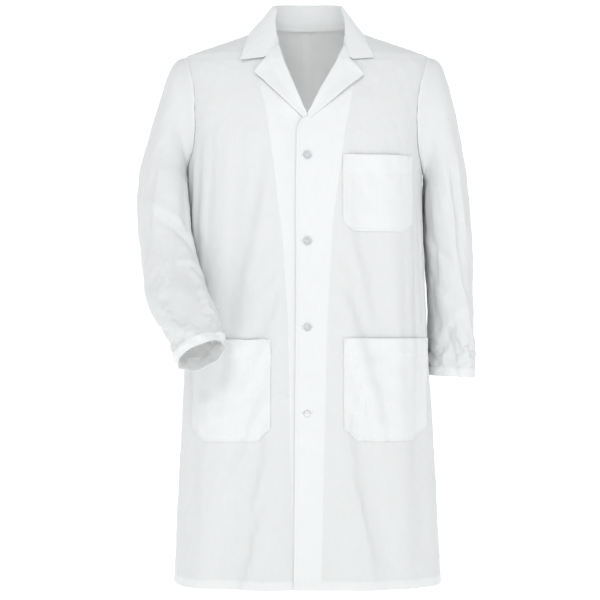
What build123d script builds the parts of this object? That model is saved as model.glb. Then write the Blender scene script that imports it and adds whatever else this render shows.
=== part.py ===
"""Knee-length lab coat, buttoned, as it hangs from its neck and shoulders.

Frame: millimetres, +Z up, the front faces -Y, +X is the wearer's left side.
Origin: middle of the back neck seam, where the coat is hung.
Cloth is modelled as thin closed shells, one node for each cut piece.
"""
import os
from math import cos, pi, sin

from build123d import *

# ---- driving dimensions -------------------------------------------------
BACK_LENGTH = 1055.0  # back neck seam to bottom edge
HEM_Z = -BACK_LENGTH
CLOTH = 1.6  # one layer of twill
INNER = 1.2  # facing, hem and binding layers
FRONT_GAP = 1.0  # between the overlapping fronts
SEAM_Y = 5.0  # shoulder and side seams lie in this plane

# The girth at each level: height, half width, half depth, centre y, squareness
GIRTHS = [
    (HEM_Z - 20.0, 250.5, 150.5, 10.0, 2.2),
    (-870.0, 244.0, 147.0, 10.0, 2.2),
    (-700.0, 236.0, 144.0, 10.0, 2.2),
    (-528.0, 227.0, 141.0, 10.0, 2.2),
    (-338.0, 215.0, 137.0, 10.0, 2.3),
    (-230.0, 216.0, 131.0, 10.0, 2.5),
    (-160.0, 222.0, 119.0, 11.0, 2.6),
    (-90.0, 234.0, 97.0, 14.0, 2.5),
    (-76.0, 232.0, 90.0, 15.0, 2.4),
    (-50.0, 170.0, 80.0, 17.0, 2.2),
    (-22.0, 103.0, 68.0, 18.0, 2.0),
    (-6.0, 77.0, 60.0, 18.0, 2.0),
]
SHOULDER_Z = -80.0  # levels above this are the sloping shoulders
FLATS = 32  # flats round each level
HOLE_FLATS = 16

# Neckline and fronts
NECK_HALF = 74.0
NECK_DEPTH = 57.0
NECK_Y = 18.0
V_BOTTOM_Z = -188.0
V_TOP_Z = -12.0
EDGE_TOP_Z = -215.0  # above this the front edges are held by the chest
EDGE_HINGE_X = 58.0  # the front edge folds back along this line
OVERLAP_TOP = 19.0  # how far each front runs past the middle
OVERLAP_HEM = 23.0
FACING_TOP_X = 56.0
FACING_HEM_X = 25.0
SPLIT = 0.4  # half the clearance between two bodies of cloth

# Buttons
BUTTON_D = 15.2
BUTTON_T = 3.0
BUTTON_TOP_Z = -262.0
BUTTON_PITCH = 158.0
BUTTON_COUNT = 4
BUTTON_STAND = 0.8  # button back above the placket
BUTTON_HOLE_R = 0.8
BUTTON_HOLE_PITCH = 3.2
BUTTONHOLE_R = 11.5  # the buttonhole held open, as it passes over its button
BUTTONHOLE_RIM = 1.0
SHANK_R = 1.5

# Patch pockets: (inner x, outer x, top z, depth)
POCKET_GAP = 9.0
POCKET_HEM = 34.0
CHEST_POCKET = (65.0, 195.0, -262.0, 141.0)
LEFT_POCKET = (65.0, 226.0, -602.0, 182.0)
RIGHT_POCKET = (-219.0, -65.0, -604.0, 182.0)
CHEST_CHAMFER = 20.0
POCKET_CHAMFER = 27.0
TACK_L = 9.0
TACK_W = 2.4
TACK_T = 0.8

# Collar
COLLAR_TOP_Z = 44.0
COLLAR_FALL_Z = -12.0
COLLAR_FRONT_Y = -22.0  # the ring part of the collar ends here
COLLAR_LAYER = 0.8
COLLAR_LIFT = 0.4  # lapels and collar points above the chest
LAPEL = [(3.0, -186.0), (104.0, -117.0), (81.0, -89.0), (75.0, -20.0), (70.0, -20.0)]
COLLAR_LEAF = [(74.0, -24.0), (81.0, -86.0), (121.0, -82.0), (99.0, -26.0)]

# Back vent and hems
VENT_TOP_Z = -760.0
VENT_UNDERLAP = 38.0
HEM_H = 13.0
SLEEVE_HEM = 18.0
HEM_EASE = 0.4

# Armholes
ARMHOLE_Y = 8.0
ARMHOLE_Z = -186.0
ARMHOLE_HALF_D = 58.0
ARMHOLE_HALF_H = 110.0
ARMHOLE_FROM_X = 178.0

# Sleeves: (inner x, z), (outer x, z), centre y, half size front to back
LEFT_UPPER = [
    ((221.0, -291.0), (232.0, -82.0), 8.0, 54.0),
    ((222.0, -294.0), (262.0, -107.0), 8.0, 58.0),
    ((223.0, -299.0), (290.0, -214.0), 8.0, 62.0),
    ((224.0, -306.0), (302.0, -292.0), 9.0, 64.0),
    ((225.0, -420.0), (315.0, -420.0), 14.0, 60.0),
]
LEFT_LOWER = [
    ((225.0, -421.0), (315.0, -421.0), 14.0, 60.0),
    ((240.0, -674.0), (323.0, -674.0), 22.0, 48.0),
]
RIGHT_UPPER = [
    ((-221.0, -291.0), (-232.0, -82.0), 8.0, 54.0),
    ((-222.0, -294.0), (-262.0, -107.0), 8.0, 58.0),
    ((-224.0, -299.0), (-302.0, -214.0), 8.0, 62.0),
    ((-225.0, -306.0), (-312.0, -290.0), -6.0, 62.0),
    ((-234.0, -404.0), (-323.0, -404.0), -40.0, 52.0),
]
RIGHT_CUFF = Vector(-191.0, -200.0, -618.0)
RIGHT_CUFF_WIDTH = (43.0, 37.0)
SLEEVE_FLATS = 20

# ---- outlines and layers ------------------------------------------------


def polygon(corners):
    return Face(Wire.make_polygon([Vector(*corner) for corner in corners], close=True))


def oval(half_w, half_d, centre_y, square, z, grow=0.0):
    """Corners of one level: a superellipse in flats that face fixed ways.

    The same flat of every level faces the same way, so cloth between two levels
    is flat too, and growing the oval moves each flat out by just that much.
    """
    power = square / (square - 1)
    corners = []
    for i in range(FLATS):
        turn, after = 2 * pi * i / FLATS, 2 * pi * (i + 1) / FLATS
        reach, next_reach = [
            (abs(half_w * cos(t)) ** power + abs(half_d * sin(t)) ** power) ** (1 / power) + grow
            for t in (turn, after)
        ]
        step = sin(after - turn)
        x = (reach * sin(after) - next_reach * sin(turn)) / step
        y = (next_reach * cos(turn) - reach * cos(after)) / step
        corners.append((x, centre_y + y, z))
    return corners


def sides(low, high, triangles=False):
    """The flats between two rings of corners."""
    faces = []
    for i, corner in enumerate(low):
        j = (i + 1) % len(low)
        if triangles:
            faces.append(polygon([corner, low[j], high[j]]))
            faces.append(polygon([corner, high[j], high[i]]))
        else:
            faces.append(polygon([corner, low[j], high[j], high[i]]))
    return faces


def stack(rings):
    """A closed solid through level rings of corners."""
    faces = [polygon(rings[0]), polygon(rings[-1])]
    for low, high in zip(rings, rings[1:]):
        faces += sides(low, high)
    return Solid(Shell(faces))


SKINS = {}


def skin(grow):
    """The coat's outside as a solid, grown outwards by so many millimetres."""
    if grow not in SKINS:
        rings = []
        for z, half_w, half_d, centre_y, square in GIRTHS:
            lift = grow if z > SHOULDER_Z else 0.0
            rings.append(oval(half_w, half_d, centre_y, square, z + lift, grow))
        SKINS[grow] = stack(rings)
    return SKINS[grow]


def layer(outside, inside):
    """A sheet of cloth between two grown skins, cut off at the hem."""
    above_hem = Pos(0, 0, HEM_Z) * Box(700, 500, 1300, align=(Align.CENTER, Align.CENTER, Align.MIN))
    return (skin(outside) - skin(inside)) & above_hem


def front_prism(outline, y_from=-260.0, y_to=SEAM_Y):
    """A front-view outline of (x, z) points, run through the coat's front."""
    face = polygon([(x, y_from, z) for x, z in outline])
    return extrude(face, amount=y_to - y_from, dir=(0, 1, 0))


def block(x, y, z):
    """A box given by its low and high limits along each axis."""
    size = [high - low for low, high in (x, y, z)]
    centre = [(high + low) / 2 for low, high in (x, y, z)]
    return Pos(*centre) * Box(*size)


def middle_front_y(z):
    """Where the coat's front lies on its middle line."""
    for (z0, _, depth0, y0, _), (z1, _, depth1, y1, _) in zip(GIRTHS, GIRTHS[1:]):
        if z0 <= z <= z1:
            share = (z - z0) / (z1 - z0)
            return y0 - depth0 + share * ((y1 - depth1) - (y0 - depth0))
    raise ValueError("no cloth at this height")


# ---- body panels --------------------------------------------------------


def armhole(side):
    """The tunnel that is cut through the side of the body for one arm."""
    ring = oval(ARMHOLE_HALF_D, ARMHOLE_HALF_H, 0.0, 2.0, 0.0)
    x_from, x_to = side * ARMHOLE_FROM_X, side * 400.0
    rings = [[(x, ARMHOLE_Y + u, ARMHOLE_Z + v) for u, v, _ in ring] for x in (x_from, x_to)]
    return stack(rings)


def neck_and_arms():
    """Everything that is cut away for the neck and both arms."""
    neck = stack([oval(NECK_HALF, NECK_DEPTH, NECK_Y, 2.0, z) for z in (-70.0, 70.0)])
    v_outline = [(-NECK_HALF + 1, 40), (-NECK_HALF + 1, V_TOP_Z), (0, V_BOTTOM_Z)]
    v_outline += [(-x, z) for x, z in reversed(v_outline[:2])]
    return neck + front_prism(v_outline) + armhole(1) + armhole(-1)


CUTS = neck_and_arms()
SHELL = layer(0.0, -CLOTH) - CUTS


def edge_outline(side, top_x, hem_x, hinge_x):
    """The strip of one front from its free edge to its fold line."""
    return [
        (-side * top_x, EDGE_TOP_Z - SPLIT),
        (side * hinge_x, EDGE_TOP_Z - SPLIT),
        (side * hinge_x, HEM_Z - 5),
        (-side * hem_x, HEM_Z - 5),
    ]


def front_panel(side):
    """The part of one front between the fold line and the side seam."""
    low, high = sorted((0.0, side * 300.0))
    half = block((low, high), (-260, SEAM_Y), (HEM_Z - 5, 60))
    fold = sorted((-side * 30.0, side * (EDGE_HINGE_X + SPLIT)))
    strip = block(fold, (-260, SEAM_Y), (HEM_Z - 5, EDGE_TOP_Z))
    return (SHELL & half) - strip


def tunnel(radius, z):
    """A many-sided hole through the middle of the front."""
    hole = extrude(RegularPolygon(radius, HOLE_FLATS), amount=80)
    return Pos(0, -90, z) * Rot(90, 0, 0) * hole


BUTTON_Z = [BUTTON_TOP_Z - i * BUTTON_PITCH for i in range(BUTTON_COUNT)]
UNDER = CLOTH + INNER + FRONT_GAP  # depth of the under front below the top one


def left_edge(outside, inside, hinge_x_top, hinge_x_hem):
    outline = edge_outline(1, OVERLAP_TOP, OVERLAP_HEM, EDGE_HINGE_X - SPLIT)
    outline[1] = (hinge_x_top, outline[1][1])
    outline[2] = (hinge_x_hem, outline[2][1])
    edge = layer(outside, inside) & front_prism(outline)
    for z in BUTTON_Z:
        edge -= tunnel(BUTTONHOLE_R + BUTTONHOLE_RIM, z)
    return edge


def right_edge(outside, inside, hinge_x_top, hinge_x_hem):
    outline = edge_outline(-1, OVERLAP_TOP, OVERLAP_TOP, EDGE_HINGE_X - SPLIT)
    outline[1] = (-hinge_x_top, outline[1][1])
    outline[2] = (-hinge_x_hem, outline[2][1])
    return layer(outside, inside) & front_prism(outline)


def buttonhole(z):
    """The stitched edge round one buttonhole, through both layers."""
    ring = tunnel(BUTTONHOLE_R + BUTTONHOLE_RIM, z) - tunnel(BUTTONHOLE_R, z)
    return layer(0.0, -CLOTH - INNER) & ring


def back_panel(side):
    """One half of the back, from the middle seam to the side seam."""
    low, high = sorted((0.0, side * 300.0))
    return SHELL & block((low, high), (SEAM_Y, 260), (HEM_Z - 5, 60))


def vent_underlap():
    """The extension of the right back that lies under the left back."""
    reach = block((0.3, VENT_UNDERLAP), (60, 260), (HEM_Z - 5, VENT_TOP_Z))
    return layer(-CLOTH - INNER, -CLOTH - 2 * INNER) & reach


def bottom_hem(side, back):
    """The turned-up hem on the inside of one panel."""
    inner_x = 0.3 if back else EDGE_HINGE_X + SPLIT
    x = sorted((side * inner_x, side * 300.0))
    y = (SEAM_Y, 260) if back else (-260, SEAM_Y)
    return layer(-CLOTH, -CLOTH - INNER) & block(x, y, (HEM_Z - 5, HEM_Z + HEM_H))


# ---- collar and lapels --------------------------------------------------


def collar_wedge(inset):
    """The collar's outer shape: a stand round the neck and a fall over it."""
    fall = stack([
        oval(104, 80, NECK_Y + 1, 2.0, COLLAR_FALL_Z, -inset),
        oval(73, 60, NECK_Y + 1, 2.0, COLLAR_TOP_Z - inset, -inset),
    ])
    stand = stack([
        oval(73.5, 57, NECK_Y, 2.0, COLLAR_FALL_Z - 5, inset),
        oval(66, 53, NECK_Y, 2.0, COLLAR_TOP_Z + 5, inset),
    ])
    return fall - stand


def collar_layer(outside, inside, leaf_out, leaf_in):
    """One layer of the collar: ring round the neck and a leaf at each front end."""
    behind = block((-200, 200), (COLLAR_FRONT_Y, 200), (COLLAR_FALL_Z + 1.5, COLLAR_TOP_Z + 5))
    ring = (collar_wedge(outside) - collar_wedge(inside)) & behind
    whole = ring - skin(COLLAR_LIFT)
    for side in (1, -1):
        leaf = front_prism([(side * x, z) for x, z in COLLAR_LEAF], y_to=COLLAR_FRONT_Y - 0.5)
        whole += (skin(leaf_out) - skin(leaf_in)) & leaf
    return whole


def lapel(side):
    """The turned-back top of one front, lying on the chest."""
    outline = front_prism([(side * x, z) for x, z in LAPEL], y_to=-30.0)
    return (skin(COLLAR_LIFT + CLOTH) - skin(COLLAR_LIFT)) & outline


def neck_binding():
    """The tape that covers the back neck seam on the inside."""
    outer, inner = [
        stack([oval(NECK_HALF - inset, NECK_DEPTH - inset, NECK_Y, 2.0, z) for z in (-24.0, -12.0)])
        for inset in (0.5, 1.7)
    ]
    return (outer - inner) & block((-80, 80), (NECK_Y + 5, 120), (-30, 5))


# ---- pockets ------------------------------------------------------------


def pocket_outline(pocket, chamfer, inset=0.0, rise=0.0):
    x0, x1, top, depth = pocket
    x0, x1 = x0 + inset, x1 - inset
    bottom = top - depth + inset
    top += rise
    return [
        (x0, top),
        (x1, top),
        (x1, bottom + chamfer * 0.8),
        (x1 - chamfer, bottom),
        (x0 + chamfer, bottom),
        (x0, bottom + chamfer * 0.8),
    ]


POCKET_OUT = POCKET_GAP + INNER + CLOTH


def patch_pocket(pocket, chamfer):
    """A pouch on the front, open along its top edge."""
    pouch = (skin(POCKET_OUT) - skin(0.0)) & front_prism(pocket_outline(pocket, chamfer))
    hollow = skin(POCKET_OUT - CLOTH) & front_prism(pocket_outline(pocket, chamfer, CLOTH, 5.0))
    return pouch - hollow


def pocket_hem(pocket, chamfer):
    """The turned-down hem inside the pocket's top edge."""
    x0, x1, top, _ = pocket
    band = block((x0 + CLOTH, x1 - CLOTH), (-260, SEAM_Y), (top - POCKET_HEM, top))
    return (skin(POCKET_OUT - CLOTH) - skin(POCKET_OUT - CLOTH - INNER)) & band


def pocket_tacks(pocket):
    """A bar of stitches across each top corner of a pocket."""
    x0, x1, top, _ = pocket
    tacks = Part()
    for x in (x0 + 3.0, x1 - 3.0 - TACK_W):
        bar = block((x, x + TACK_W), (-260, 0), (top - 2.0 - TACK_L, top - 2.0))
        tacks += (skin(POCKET_OUT + TACK_T) - skin(POCKET_OUT)) & bar
    return tacks


# ---- buttons ------------------------------------------------------------


def button_place(z):
    """Middle of a button's back face, on the placket, facing the front."""
    lie = Plane(origin=(0, middle_front_y(z) - BUTTON_STAND, z), x_dir=(1, 0, 0), z_dir=(0, -1, 0))
    return lie.location


def stitch_points():
    half = BUTTON_HOLE_PITCH / 2
    return [(x, y) for x in (-half, half) for y in (-half, half)]


def button(z):
    """A round button with a raised rim, a dished middle and four holes."""
    r = BUTTON_D / 2
    profile = Polyline((0, 0), (r - 0.8, 0), (r, 0.9), (r, 2.2), (r - 0.8, BUTTON_T),
                       (r - 1.6, BUTTON_T), (r - 2.6, 2.1), (0, 1.8), close=True)
    disc = revolve(make_face(Plane.XZ * profile), axis=Axis.Z)
    for x, y in stitch_points():
        disc -= Pos(x, y, 0) * Cylinder(BUTTON_HOLE_R, 20)
    return button_place(z) * disc


def button_thread(z):
    """The sewing thread: a wound shank under the button and two bars on it."""
    depth = UNDER + BUTTON_STAND
    shank = Pos(0, 0, -0.1) * Cylinder(SHANK_R, depth - 0.6, align=(Align.CENTER, Align.CENTER, Align.MAX))
    thread = shank + Pos(0, 0, -0.5) * Box(
        BUTTON_HOLE_PITCH, BUTTON_HOLE_PITCH, 0.8, align=(Align.CENTER, Align.CENTER, Align.CENTER))
    for x, y in stitch_points():
        thread += Pos(x, y, -0.6) * Cylinder(
            BUTTON_HOLE_R - 0.2, 3.2, align=(Align.CENTER, Align.CENTER, Align.MIN))
    for x in (-BUTTON_HOLE_PITCH / 2, BUTTON_HOLE_PITCH / 2):
        thread += Pos(x, 0, 2.3) * Box(0.9, BUTTON_HOLE_PITCH, 0.6)
    return button_place(z) * thread


# ---- sleeves ------------------------------------------------------------


def sleeve_station(inner, outer, centre_y, half_front):
    """Centre, sideways half vector and front half vector of one cross-section."""
    middle = Vector((inner[0] + outer[0]) / 2, centre_y, (inner[1] + outer[1]) / 2)
    side = Vector((outer[0] - inner[0]) / 2, 0, (outer[1] - inner[1]) / 2)
    return middle, side, Vector(0, -half_front, 0)


def sleeve_ring(station, inset):
    """Corners round one cross-section, set in by so many millimetres."""
    middle, side, front = station
    side = side * (1 - inset / side.length)
    front = front * (1 - inset / front.length)
    turns = [2 * pi * i / SLEEVE_FLATS for i in range(SLEEVE_FLATS)]
    return [tuple(middle + side * cos(t) + front * sin(t)) for t in turns]


def sleeve_tube(stations, outside=0.0, inside=CLOTH):
    """A hollow sleeve through a list of cross-sections, open at both ends."""
    outer = [sleeve_ring(station, outside) for station in stations]
    inner = [sleeve_ring(station, inside) for station in stations]
    faces = sides(outer[0], inner[0]) + sides(outer[-1], inner[-1])
    for rings in (outer, inner):
        for low, high in zip(rings, rings[1:]):
            faces += sides(low, high, triangles=True)
    return Solid(Shell(faces))


def right_elbow():
    """The bend of the right sleeve: hinge point, axis, and forearm stations."""
    middle, side, front = sleeve_station(*RIGHT_UPPER[-1])
    upper = Vector(0, 0, -1)  # the upper sleeve ends level
    fore = (RIGHT_CUFF - middle).normalized()
    axis = upper.cross(fore).normalized()
    hinge = middle + axis.cross(upper).normalized() * front.length
    fore = (RIGHT_CUFF - hinge + axis.cross(fore).normalized() * RIGHT_CUFF_WIDTH[1]).normalized()
    inward = axis.cross(fore).normalized()
    start = hinge - inward * front.length + fore * 1.0
    end = start + fore * (RIGHT_CUFF - start).length
    stations = [
        (start, axis * side.length, inward * front.length),
        (end, axis * RIGHT_CUFF_WIDTH[0], inward * RIGHT_CUFF_WIDTH[1]),
    ]
    return hinge, axis, stations


def cuff_band(stations):
    """The last stretch of a sleeve, as long as its turned-up hem."""
    start, end = stations[-2:]
    share = 1 - SLEEVE_HEM / (end[0] - start[0]).length
    return [tuple(a + (b - a) * share for a, b in zip(start, end)), end]


LEFT_ARM = [sleeve_station(*row) for row in LEFT_LOWER]
HINGE, ELBOW_AXIS, RIGHT_ARM = right_elbow()


# ---- nodes --------------------------------------------------------------


def all_nodes():
    nodes = {
        "back_left": back_panel(1),
        "back_right": back_panel(-1),
        "vent_underlap": vent_underlap(),
        "front_left": front_panel(1),
        "front_right": front_panel(-1),
        "front_edge_left": left_edge(0.0, -CLOTH, EDGE_HINGE_X - SPLIT, EDGE_HINGE_X - SPLIT),
        "facing_left": left_edge(-CLOTH, -CLOTH - INNER, FACING_TOP_X, FACING_HEM_X),
        "front_edge_right": right_edge(-UNDER, -UNDER - CLOTH, EDGE_HINGE_X - SPLIT, EDGE_HINGE_X - SPLIT),
        "facing_right": right_edge(-UNDER - CLOTH, -UNDER - CLOTH - INNER, FACING_TOP_X, FACING_HEM_X),
        "lapel_left": lapel(1),
        "lapel_right": lapel(-1),
        "upper_collar": collar_layer(0.0, COLLAR_LAYER, 4.6, 3.8),
        "collar_interlining": collar_layer(COLLAR_LAYER, 1.5 * COLLAR_LAYER, 3.8, 3.4),
        "under_collar": collar_layer(1.5 * COLLAR_LAYER, 2.5 * COLLAR_LAYER, 3.4, 2.6),
        "neck_binding": neck_binding(),
        "hem_back_left": bottom_hem(1, True),
        "hem_back_right": bottom_hem(-1, True),
        "hem_front_left": bottom_hem(1, False),
        "hem_front_right": bottom_hem(-1, False),
        "sleeve_left_upper": sleeve_tube([sleeve_station(*row) for row in LEFT_UPPER]),
        "sleeve_left_lower": sleeve_tube(LEFT_ARM),
        "sleeve_left_hem": sleeve_tube(cuff_band(LEFT_ARM), CLOTH + HEM_EASE, CLOTH + HEM_EASE + INNER),
        "sleeve_right_upper": sleeve_tube([sleeve_station(*row) for row in RIGHT_UPPER]),
        "sleeve_right_lower": sleeve_tube(RIGHT_ARM),
        "sleeve_right_hem": sleeve_tube(cuff_band(RIGHT_ARM), CLOTH + HEM_EASE, CLOTH + HEM_EASE + INNER),
    }
    pockets = {
        "chest_pocket": (CHEST_POCKET, CHEST_CHAMFER),
        "lower_pocket_left": (LEFT_POCKET, POCKET_CHAMFER),
        "lower_pocket_right": (RIGHT_POCKET, POCKET_CHAMFER),
    }
    for name, (pocket, chamfer) in pockets.items():
        nodes[name] = patch_pocket(pocket, chamfer)
        nodes[name + "_hem"] = pocket_hem(pocket, chamfer)
        nodes[name + "_tacks"] = pocket_tacks(pocket)
    for number, z in enumerate(BUTTON_Z, 1):
        nodes[f"button_{number}"] = button(z)
        nodes[f"button_thread_{number}"] = button_thread(z)
        nodes[f"buttonhole_{number}"] = buttonhole(z)
    return nodes


os.makedirs("parts", exist_ok=True)
for node_name, shape in all_nodes().items():
    export_step(shape, f"parts/{node_name}.step")
print("right elbow hinge", HINGE, "axis", ELBOW_AXIS)
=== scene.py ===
"""Looks of a lab coat: cloth, stitching, buttons, light and camera.

Sizes are in metres, +Z up. The front faces -Y and +X is the wearer's left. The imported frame
gives the hem's height, the top of the vent and the buttons. Cloth is cut from three curved
surfaces, the body and the two sleeves. Each surface is a grid of points, so a panel, a hem and
a row of stitches on it fit together.
"""
import math

import bpy
import numpy as np
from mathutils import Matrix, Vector
from mathutils.kdtree import KDTree


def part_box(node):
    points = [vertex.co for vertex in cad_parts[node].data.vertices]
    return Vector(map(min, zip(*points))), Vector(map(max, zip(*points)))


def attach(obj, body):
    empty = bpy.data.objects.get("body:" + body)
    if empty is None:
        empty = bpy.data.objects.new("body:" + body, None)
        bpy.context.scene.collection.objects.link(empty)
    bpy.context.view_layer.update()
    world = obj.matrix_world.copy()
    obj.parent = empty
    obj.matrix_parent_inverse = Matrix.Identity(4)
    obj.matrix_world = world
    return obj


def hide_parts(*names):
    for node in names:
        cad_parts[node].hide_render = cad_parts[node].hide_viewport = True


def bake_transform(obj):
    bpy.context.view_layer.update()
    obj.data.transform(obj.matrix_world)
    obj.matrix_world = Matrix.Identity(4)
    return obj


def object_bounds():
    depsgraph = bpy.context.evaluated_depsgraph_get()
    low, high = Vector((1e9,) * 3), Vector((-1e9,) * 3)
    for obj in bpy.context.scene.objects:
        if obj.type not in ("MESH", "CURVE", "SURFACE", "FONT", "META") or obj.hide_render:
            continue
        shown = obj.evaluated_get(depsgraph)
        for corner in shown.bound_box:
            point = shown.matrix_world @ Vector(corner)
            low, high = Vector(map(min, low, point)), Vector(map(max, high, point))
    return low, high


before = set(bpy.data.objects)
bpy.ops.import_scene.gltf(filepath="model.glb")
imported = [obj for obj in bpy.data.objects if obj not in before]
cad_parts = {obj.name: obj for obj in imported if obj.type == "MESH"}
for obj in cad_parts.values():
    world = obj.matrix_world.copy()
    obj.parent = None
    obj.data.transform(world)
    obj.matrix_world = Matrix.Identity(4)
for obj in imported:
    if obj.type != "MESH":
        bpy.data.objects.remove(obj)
cad_low, cad_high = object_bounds()

# ---- driving dimensions -------------------------------------------------
CLOTH = 0.0007  # thickness of one layer of twill
LAYER_GAP = 0.0012  # from one layer to the next one that lies on it
HEM_Z = cad_low.z
SHOULDER_Z = -0.0645
V_BOTTOM_Z = -0.1850
OVERLAP_TOP = 0.0195
OVERLAP_HEM = 0.0235
VENT_TOP_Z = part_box("vent_underlap")[1].z
FOLD_X = 0.058  # the front edges are cut from the panels along this line
OPEN_TOP_Z = -0.196  # above this the front edges are part of the front panels
SLEEVE_SPLIT = -0.395  # the middle height of the row where the upper sleeve ends
HEM_H = 0.0135
HEM_TOP_Z = HEM_Z + HEM_H
HEM_STITCH_Z = HEM_TOP_Z - 0.002
SLEEVE_HEM = 0.018
STITCH_PITCH = 0.0031
PROBE = 0.001  # two points this far apart off a surface give its normal
SINGLE_LAYER_PAINTED_SHADE = 0.925  # painted shade: single cloth is painted this much darker than two plies, for light that passes through it

# The girth at each level: height, half width, half depth, centre y, squareness
GIRTHS = np.array([
    (-1.075, 0.2585, 0.1475, 0.010, 2.2),
    (-0.870, 0.2500, 0.1450, 0.010, 2.2),
    (-0.700, 0.2400, 0.1430, 0.010, 2.2),
    (-0.528, 0.2300, 0.1405, 0.010, 2.2),
    (-0.338, 0.2175, 0.1370, 0.010, 2.3),
    (-0.230, 0.2170, 0.1310, 0.010, 2.5),
    (-0.160, 0.2230, 0.1190, 0.011, 2.6),
    (-0.090, 0.2360, 0.0970, 0.014, 2.5),
    (SHOULDER_Z, 0.2300, 0.0860, 0.016, 2.3),
    (-0.054, 0.2020, 0.0810, 0.017, 2.2),
    (-0.042, 0.1670, 0.0770, 0.018, 2.1),
    (-0.0205, 0.1040, 0.0680, 0.018, 2.0),
    (-0.004, 0.0740, 0.0580, 0.018, 2.0),
])

# ---- surfaces -----------------------------------------------------------


def smooth_rows(values, width):
    """Each column of values averaged over that many rows on both sides."""
    kernel = np.hanning(2 * width + 3)[1:-1]
    kernel /= kernel.sum()
    padded = np.pad(values, [(width, width)] + [(0, 0)] * (values.ndim - 1), mode="edge")
    return sum(k * padded[i:i + len(values)] for i, k in enumerate(kernel))


def ease(value, low, high):
    """0 below low, 1 above high, smooth between."""
    t = np.clip((value - low) / (high - low), 0, 1)
    return t * t * (3 - 2 * t)


def length(vectors):
    """The length of each vector along the last axis, which is kept."""
    return np.linalg.norm(vectors, axis=-1, keepdims=True)


def run_of(points):
    """How far along its line each point lies."""
    return np.concatenate([[0], np.cumsum(length(np.diff(points, axis=0))[:, 0])])


def columns_at(at, along, table):
    """Each column of the table, which is given at the places along, at the new places."""
    return np.stack([np.interp(at, along, column) for column in table.T], axis=-1)


def ripple(points, wavelength, seed, waves=9):
    """Soft noise of about that wavelength, between -1 and 1, at each point."""
    draw = np.random.default_rng(seed)
    total = np.zeros(points.shape[:-1])
    for _ in range(waves):
        way = draw.normal(size=points.shape[-1])
        way *= 2 * math.pi / (np.linalg.norm(way) * wavelength * draw.uniform(0.7, 1.6))
        total += np.sin(points @ way + draw.uniform(0, 2 * math.pi))
    return total / math.sqrt(2 * waves)


def grid_normals(points, wrap):
    """Unit normals of a grid of points."""
    down = np.gradient(points, axis=0)
    if wrap:
        across = (np.roll(points, -1, axis=1) - np.roll(points, 1, axis=1)) / 2
    else:
        across = np.gradient(points, axis=1)
    normal = np.cross(down, across)
    return normal / np.maximum(length(normal), 1e-12)


def refine(points, rows, cols, wrap):
    """The grid again with more points, on smooth curves through the old ones."""
    def along(values, count, closed):
        """Catmull-Rom curves through the values, at count even places."""
        n = len(values)
        at = np.linspace(0, n if closed else n - 1, count, endpoint=not closed)
        i = np.minimum(at.astype(int), n - 1 if closed else n - 2)
        t = (at - i).reshape((-1,) + (1,) * (values.ndim - 1))
        pick = (lambda k: values[k % n]) if closed else (lambda k: values[np.clip(k, 0, n - 1)])
        p0, p1, p2, p3 = pick(i - 1), pick(i), pick(i + 1), pick(i + 2)
        cubic = 2 * p0 - 5 * p1 + 4 * p2 - p3 + t * (3 * (p1 - p2) + p3 - p0)
        return p1 + 0.5 * t * (p2 - p0 + t * cubic)
    points = along(points, rows, False)
    return np.swapaxes(along(np.swapaxes(points, 0, 1), cols, wrap), 0, 1)


class Surface:
    """A closed tube of cloth as a grid: rows go down, columns go round."""

    def __init__(self, points):
        self.points = points
        self.normals = grid_normals(points, True)

    def at(self, row, col, off=0.0):
        """Points at fractional rows and columns, lifted off the surface."""
        rows, cols = self.points.shape[:2]
        row = np.clip(row, 0, rows - 1.0001)
        col = np.mod(col, cols)
        r, c = row.astype(int), np.minimum(col.astype(int), cols - 1)
        a, b = (row - r)[..., None], (col - c)[..., None]
        c1 = (c + 1) % cols

        def mix(grid):
            """The grid's values between its four nearest points."""
            top = grid[r, c] * (1 - b) + grid[r, c1] * b
            low = grid[r + 1, c] * (1 - b) + grid[r + 1, c1] * b
            return top * (1 - a) + low * a

        normal = mix(self.normals)
        normal /= length(normal)
        return mix(self.points) + normal * np.asarray(off)[..., None]


# ---- cloth simulation ---------------------------------------------------


def show(name, data):
    """A new object in the scene that shows this mesh, light or camera."""
    made = bpy.data.objects.new(name, data)
    bpy.context.scene.collection.objects.link(made)
    return made


SLACK = 0.012  # the cloth is larger than its tube by this share, which makes its folds
FRAMES = 16


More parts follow.
